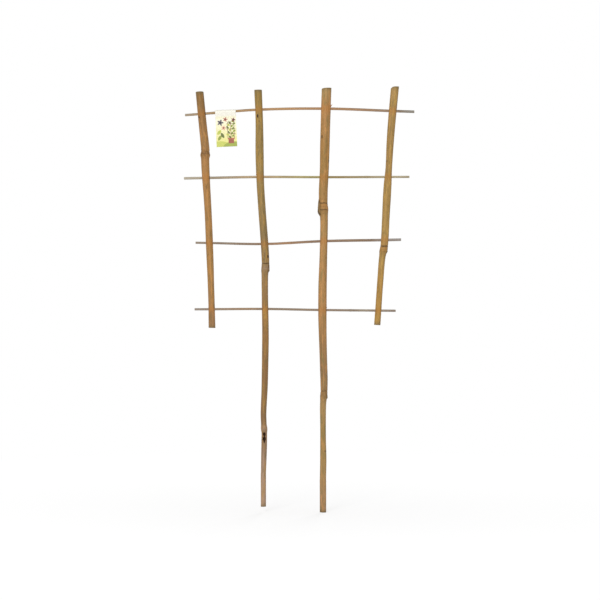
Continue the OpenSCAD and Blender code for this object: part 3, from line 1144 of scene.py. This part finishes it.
def cane_skin(name):
    """Weathered bamboo: tones along the cane, cloudy patches, fibre streaks, scars and specks."""
    cane, look = canes[name], CANES[name]
    paint = Finish(name + "_skin", specular=0.2)
    grain = paint.attribute("grain")
    place = paint.vector("ADD", grain, (look.seed, 0, 0))
    warm, dirt_and_shade, bloom, wear = (paint.attribute(mark, "Fac") for mark in ("warm", "dirt_and_shade", "bloom", "wear"))

    drift = paint.spread(paint.noise(place, (90, 90, 24), 3), 0.3, 0.7, -6 * MM, 6 * MM)
    level = paint.math("ADD", paint.parts(grain)[UP], drift)
    colour = tone_ramp(paint, level, cane, look.tones)
    colour = paint.patches(colour, look.cloud, paint.noise(place, (260, 260, 60), 8, 0.68), 0.49, 0.65, 0.7)
    colour = paint.patches(colour, look.bright, paint.noise(place, (340, 340, 55), 8, 0.65), 0.5, 0.66, 0.65)

    streak = paint.noise(place, (800, 800, 7), 3)
    fibre = paint.noise(place, (3200, 3200, 45), 2)
    colour = paint.shaded(colour, streak, 0.28, 0.72, 0.8, 1.17)
    colour = paint.shaded(colour, fibre, 0.3, 0.7, 0.91, 1.08)
    colour = paint.patches(colour, CRACK, paint.noise(place, (1500, 1500, 10), 2), 0.66, 0.74, 0.45)

    mottle = paint.noise(place, (700, 700, 260), 3)
    colour = paint.marked(colour, WARM_STAIN, warm, 0.5)
    colour = paint.marked(colour, BLOOM, bloom, paint.spread(mottle, 0.35, 0.6, 0.1, 0.6))
    colour = paint.marked(colour, WEATHERED, wear, paint.spread(mottle, 0.3, 0.6, 0.45, 0.9))
    colour = paint.patches(colour, FLECK, paint.noise(place, (520, 520, 130), 1), 0.735, 0.78, 0.6)
    ragged = paint.spread(mottle, 0.3, 0.7, -0.35, 0.35)
    for across, up, half_width, half_height, strength in look.specks:
        aside = across * MM - cane.centre(up * MM)
        depth = -math.sqrt(max(cane.radius(up * MM)**2 - aside**2, 0))
        size = (half_width * MM, 2 * half_width * MM, half_height * MM)
        spot = paint.spot(grain, (aside, depth, up * MM), size, ragged)
        colour = paint.marked(colour, SPECK, spot, strength)
    # Dark grime where the mark of dirt and painted shade is high, broken up by the mottle
    uneven = paint.math("ADD", dirt_and_shade, paint.spread(mottle, 0.3, 0.7, -0.2, 0.2))
    colour = paint.patches(colour, GRIME_AND_SHADE, uneven, 0.2, 1, 0.85)

    relief = paint.math("ADD", streak, paint.math("MULTIPLY", fibre, 0.5))
    paint.bump(relief, 0.35, 0.25 * MM)
    return paint.done(colour, paint.spread(mottle, 0.3, 0.7, 0.48, 0.66))


def rung_skin(name):
    """Split stick: tones along it, strong fibres and grey weathering."""
    rung, look = rungs[name], RUNGS[name]
    paint = Finish(name + "_skin", specular=0.25)
    grain = paint.attribute("grain")
    place = paint.vector("ADD", grain, (look.seed, 0, 0))
    drift = paint.spread(paint.noise(place, (30, 200, 200), 2), 0.3, 0.7, -18 * MM, 18 * MM)
    along = paint.math("ADD", paint.parts(grain)[ACROSS], drift)
    colour = tone_ramp(paint, along, rung, look.tones)
    streak = paint.noise(place, (14, 1500, 1500), 3)
    fibre = paint.noise(place, (70, 5000, 5000), 2)
    colour = paint.shaded(colour, streak, 0.28, 0.72, 0.8, 1.16)
    colour = paint.shaded(colour, fibre, 0.3, 0.7, 0.9, 1.08)
    colour = paint.patches(colour, DULL, paint.noise(place, (45, 300, 300), 4), 0.52, 0.75, 0.5)
    paint.bump(paint.math("ADD", streak, fibre), 0.4, 0.12 * MM)
    return paint.done(colour, 0.65)


def end_grain_finish():
    """Sawn bamboo: pale wood with darker bundles, greyed by dust, and darkened by dirt and painted shade."""
    paint = Finish("end_grain", specular=0.2)
    grain = paint.attribute("grain")
    cells = paint.node("TexVoronoi", {"Vector": grain, "Scale": 1500.0}).outputs["Distance"]
    colour = paint.mix(paint.spread(cells, 0.2, 0.42), tone(BUNDLE_BROWN), tone(PALE_WOOD))
    colour = paint.patches(colour, DUST, paint.noise(grain, (400, 400, 400), 4), 0.4, 0.7, 0.55)
    # Sawn ends darker where the mark of dirt and painted shade is high
    colour = paint.patches(colour, STAINED_AND_SHADED_WOOD, paint.attribute("dirt_and_shade", "Fac"), 0.4, 1, 0.75)
    paint.bump(cells, 0.3, 0.2 * MM)
    return paint.done(colour, 0.85)


def hollow_shade_finish():
    """Inside of bores, holes and pits: dull wood, darkened towards black as painted shade."""
    paint = Finish("hollow_wood_shade", specular=0.1)
    patch = paint.noise(paint.attribute("grain"), (900, 900, 300), 3)
    colour = paint.mix(paint.spread(patch, 0.35, 0.65), tone(HOLLOW_SHADE_DARK), tone(HOLLOW_SHADE_BROWN))
    paint.bump(patch, 0.4, 0.3 * MM)
    return paint.done(colour, 0.95)


def tag_board():
    """Plain uncoated side of the card."""
    paint = Finish("tag_board", specular=0.3)
    speckle = paint.noise(paint.attribute("grain"), (1400, 1400, 1400), 3)
    colour = paint.mix(paint.spread(speckle, 0.3, 0.7), tone(CARD_GREY), tone(CARD_WHITE))
    paint.bump(speckle, 0.15, 0.05 * MM)
    return paint.done(colour, 0.7)


def garden_print():
    """Shapes of the tag's print, over one another: kind, middle, half size, turn in degrees, colour.

    A climber in a pot grows up a small lattice on two hills, with leaves and blossoms beside it.
    """
    shapes = [("oval", (-10, -50), (16, 9), 0, "c6cb5e"), ("oval", (9, -52), (15, 10), 0, "9eaa40")]
    shapes += [("bar", (POT_MIDDLE + x, -26), (0.4, 12.5), 0, "7a5238") for x in (-4.5, 0, 4.5)]
    shapes += [("bar", (POT_MIDDLE, z), (6.3, 0.4), 0, "8d6444") for z in (-17, -24, -31)]
    shapes += [("bar", (POT_MIDDLE, -41), (3.9, 3.4), 0, "9c5138")]
    shapes += [("bar", (POT_MIDDLE, -37.8), (4.7, 1), 0, "b5694a")]
    greens = ("5f6b26", "8f9c34", "b9c14e", "76852c")
    for step in range(14):
        side = 1 if step % 2 else -1
        middle = (POT_MIDDLE + side * (1.6 + 1.5 * (step % 3)), -35.5 + 1.7 * step)
        shapes.append(("leaf", middle, (1.3, 2.3), side * (35 + 12 * (step % 3)), greens[step % 4]))
    for middle, turn, green in (((-9.5, -36.5), 32, 1), ((-5.5, -33), -28, 0), ((-10, -28.5), 40, 2)):
        shapes.append(("leaf", middle, (2.1, 4.3), turn, greens[green]))
    for middle, size, petal, heart in (
            ((-8, -15), 4.6, "5d5660", "221b1d"), ((-0.8, -10.6), 3.4, "b9705f", "3d1d18"),
            ((-3.6, -22.5), 3.6, "e2b093", "6b3526"), ((10.5, -11.5), 3.2, "7c4034", "241312")):
        shapes.append(("blossom", middle, (size, size), 0, petal))
        shapes.append(("oval", middle, (HEART_SHARE * size, HEART_SHARE * size), 0, heart))
    return shapes


def distance_out(paint, kind, flat, size):
    """How far outside a printed shape's edge a place lies, in millimetres, less than 0 inside it."""
    across, _, rise = paint.parts(flat)
    half_width, half_height = size
    if kind == "bar":
        aside = paint.math("SUBTRACT", paint.math("ABSOLUTE", across), half_width)
        above = paint.math("SUBTRACT", paint.math("ABSOLUTE", rise), half_height)
        return paint.math("MAXIMUM", aside, above)
    if kind == "leaf":
        bow = (half_width**2 + half_height**2) / (2 * half_width)
        aside = paint.vector("ADD", paint.vector("ABSOLUTE", flat), (bow - half_width, 0, 0))
        return paint.math("SUBTRACT", paint.length(aside), bow)
    if kind == "blossom":
        turn = paint.math("ARCTAN2", rise, across)
        petals = paint.math("COSINE", paint.math("MULTIPLY", turn, PETALS))
        edge = paint.spread(petals, -1, 1, PETAL_NOTCH * half_width, half_width)
        return paint.math("SUBTRACT", paint.length(flat), edge)
    reach = paint.length(paint.vector("DIVIDE", flat, (half_width, 1, half_height)))
    return paint.math("MULTIPLY", paint.math("SUBTRACT", reach, 1), min(size))


def tag_print(height):
    """Coated card with a generic garden print, left white at the fold."""
    paint = Finish("tag_print", specular=0.4)
    grain = paint.attribute("grain")
    up = paint.parts(grain)[UP]
    ground = paint.spread(up, GROUND_YELLOW * height, GROUND_PALE * height)
    colour = paint.mix(ground, tone(PRINT_YELLOW), tone(PRINT_CREAM))
    for kind, middle, size, turn, code in garden_print():
        turned = paint.node("Mapping", {"Vector": grain, "Location": (middle[0] * MM, 0, middle[1] * MM),
                                        "Scale": (MM, MM, MM), "Rotation": (0, math.radians(turn), 0)},
                            vector_type="TEXTURE")
        flat = paint.vector("MULTIPLY", turned.outputs["Vector"], (1, 0, 1))
        out = distance_out(paint, kind, flat, size)
        colour = paint.patches(colour, code, out, PRINT_BLUR, -PRINT_BLUR, 1)
    colour = paint.patches(colour, PRINT_WHITE, up, PRINT_TOP, FOLD_WHITE, 1)
    return paint.done(colour, 0.45)


# Camera, light and floor

VIEW_CENTRE = Vector((1.06 * MM, 0, 299.3 * MM))
VIEW_WIDTH = 846 * MM
VIEW_DISTANCE = 2.8
SENSOR = 36
ROOM_LIGHT = 0.5

# Soft lamps, before and behind the frame: place and power
LAMP_SIZE = 0.9
LAMPS = {
    "key": (Vector((-0.6, -2.4, 1.15)), 31),
    "fill": (Vector((0.6, 2.4, 1.6)), 20),
}

# Near the frame the floor shows SHADOW_SHARE of its own lit face, which is FLOOR_LIT bright, and the rest
# is white that the eye sees, so that the floor comes out white beside the shadow. Past SHADOW_REACH it
# is all white.
FLOOR_RADIUS = 6
FLOOR_SIDES = 128
FLOOR_GREY = (0.9, 0.9, 0.9, 1)
SHADOW_SHARE = 0.5
SHADOW_REACH = 1.1
FLOOR_LIT = 0.79


def aim(thing, place, target):
    """Stands a lamp or camera at a place, facing a target."""
    thing.location = place
    thing.rotation_euler = (target - place).to_track_quat("-Z", "Y").to_euler()
    bpy.context.scene.collection.objects.link(thing)


def make_camera():
    lens = bpy.data.cameras.new("camera")
    lens.sensor_width = SENSOR
    lens.lens = SENSOR * VIEW_DISTANCE / VIEW_WIDTH
    camera = bpy.data.objects.new("camera", lens)
    aim(camera, VIEW_CENTRE - Vector((0, VIEW_DISTANCE, 0)), VIEW_CENTRE)
    bpy.context.scene.camera = camera


def make_lamp(name):
    place, power = LAMPS[name]
    lamp = bpy.data.lights.new(name, "AREA")
    lamp.shape = "DISK"
    lamp.size = LAMP_SIZE
    lamp.energy = power
    aim(bpy.data.objects.new(name, lamp), place, VIEW_CENTRE)


def make_room():
    """White all round to the eye, and an even soft light on the frame."""
    world = bpy.data.worlds.new("room")
    world.use_nodes = True
    bpy.context.scene.world = world
    paint = Nodes(world.node_tree)
    light = world.node_tree.nodes["Background"].inputs
    paint.feed(light["Color"], (1, 1, 1, 1))
    paint.feed(light["Strength"], paint.spread(paint.seen_directly(), 0, 1, ROOM_LIGHT, 1))


def make_floor():
    mesh = bmesh.new()
    bmesh.ops.create_circle(mesh, cap_ends=True, segments=FLOOR_SIDES, radius=FLOOR_RADIUS)
    paint = Finish("floor", specular=0)
    distance = paint.length(paint.node("TexCoord", {}).outputs["Object"])
    white_share = 1 - SHADOW_SHARE
    full_white = (1 - SHADOW_SHARE * FLOOR_LIT) / white_share
    fade = paint.spread(distance, 0, SHADOW_REACH, white_share, 1)
    white = paint.node("Emission", {"Strength": paint.spread(distance, 0, SHADOW_REACH, full_white, 1)})
    share = paint.math("MULTIPLY", paint.seen_directly(), fade)
    blend = paint.node("MixShader", {0: share, 1: paint.shader.outputs[0], 2: white.outputs[0]})
    paint.feed(paint.tree.nodes["Material Output"].inputs["Surface"], blend.outputs[0])
    floor = make_piece(mesh, "floor", [paint.done(FLOOR_GREY, 1)])


# The scene

sawn_wood = end_grain_finish()
painted_hollow_shade = hollow_shade_finish()
for cane_name in CANES:
    make_cane(cane_name, sawn_wood, painted_hollow_shade)
for rung_name in RUNGS:
    make_rung(rung_name, sawn_wood)
make_tag()
make_camera()
for lamp_name in LAMPS:
    make_lamp(lamp_name)
make_room()
make_floor()
bpy.context.scene.view_settings.view_transform = "Standard"
